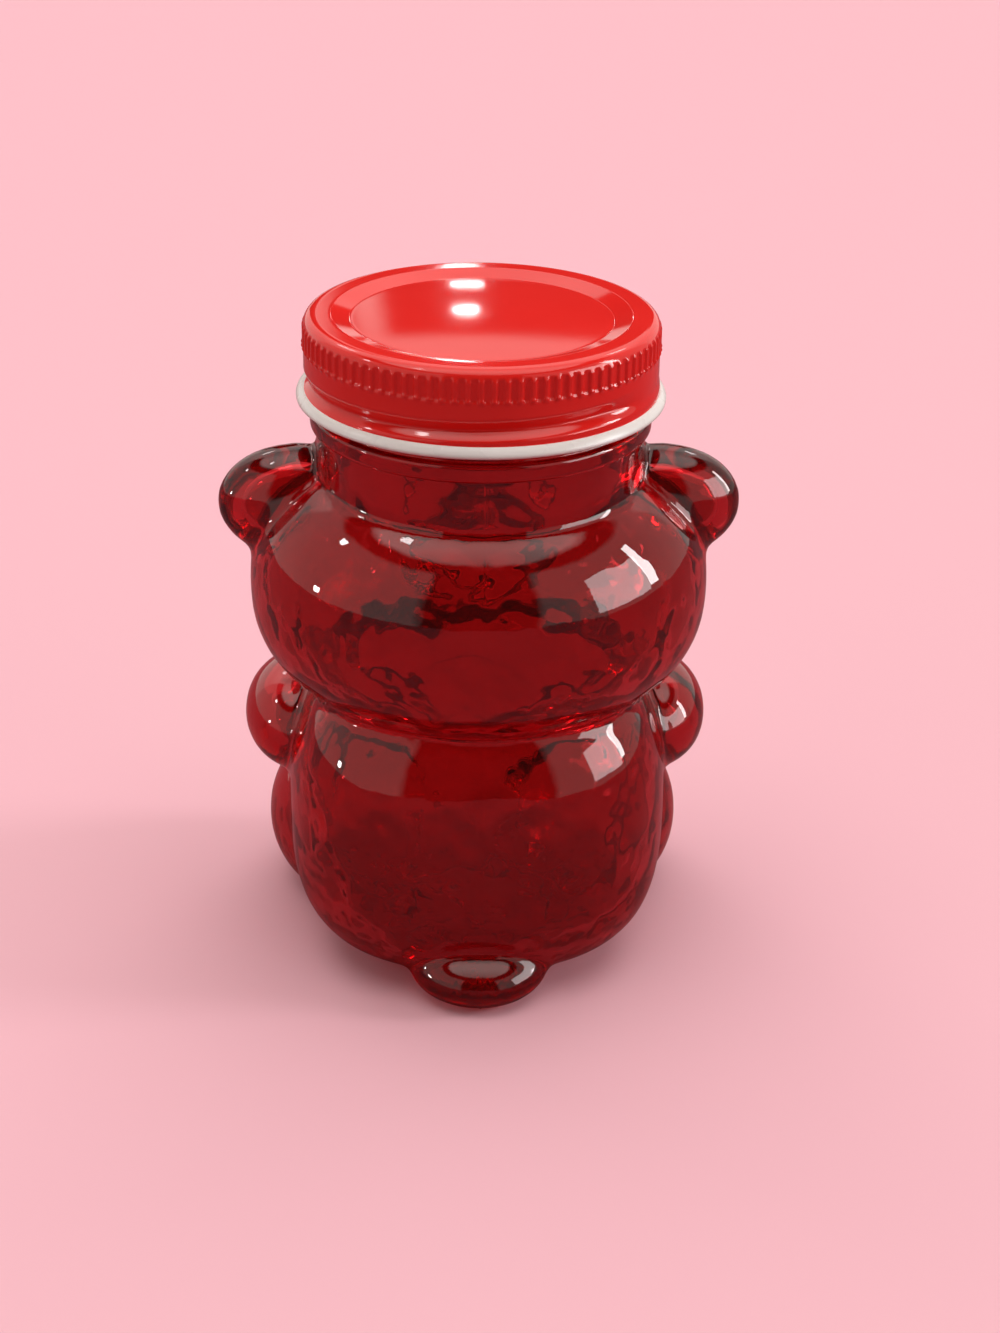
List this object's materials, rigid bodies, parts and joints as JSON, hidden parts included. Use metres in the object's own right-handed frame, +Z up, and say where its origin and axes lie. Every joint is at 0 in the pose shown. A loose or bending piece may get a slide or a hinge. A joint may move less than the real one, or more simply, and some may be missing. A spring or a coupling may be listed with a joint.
{
  "type": "bear-shaped glass jar",
  "caption": "Ruby glass storage jar moulded as a sitting bear, with a pressed steel screw lid, rolled edge and sealing ring. It holds sweets or dry food.",
  "frame": {"origin": "on the floor plane at the middle of the part's outline, which is also the axis of the mouth and the lid", "axes": "+Z up along the axis of the mouth, -Y the way the bear faces, +X to the bear's left"},
  "size_m": [0.1058, 0.0876, 0.138],
  "materials": {
    "ruby_glass": "clear ruby-red moulded glass, fire-polished",
    "lid_enamel": "gloss red enamel on tinplate, white inside and on the rolled edge",
    "seal_compound": "matt off-white cast sealing compound"
  },
  "bodies": {
    "jar": {"glass_jar": "ruby_glass"},
    "seal_ring": {"lid_seal": "seal_compound"},
    "lid": {"lid_shell": "lid_enamel"}
  },
  "joints": [
    {"name": "lid_rise", "type": "slide", "parent": "jar", "child": "seal_ring", "axis": [0, 0, 1], "range_m": [0, 0.01525]},
    {"name": "lid_turn", "type": "hinge", "parent": "seal_ring", "child": "lid", "pos_m": [0, 0, 0.138], "axis": [0, 0, 1], "range_deg": [0, 1080]}
  ],
  "couplings": [
    {"joint": "lid_rise", "follows": "lid_turn", "m_per_rad": 0.00080851}
  ]
}
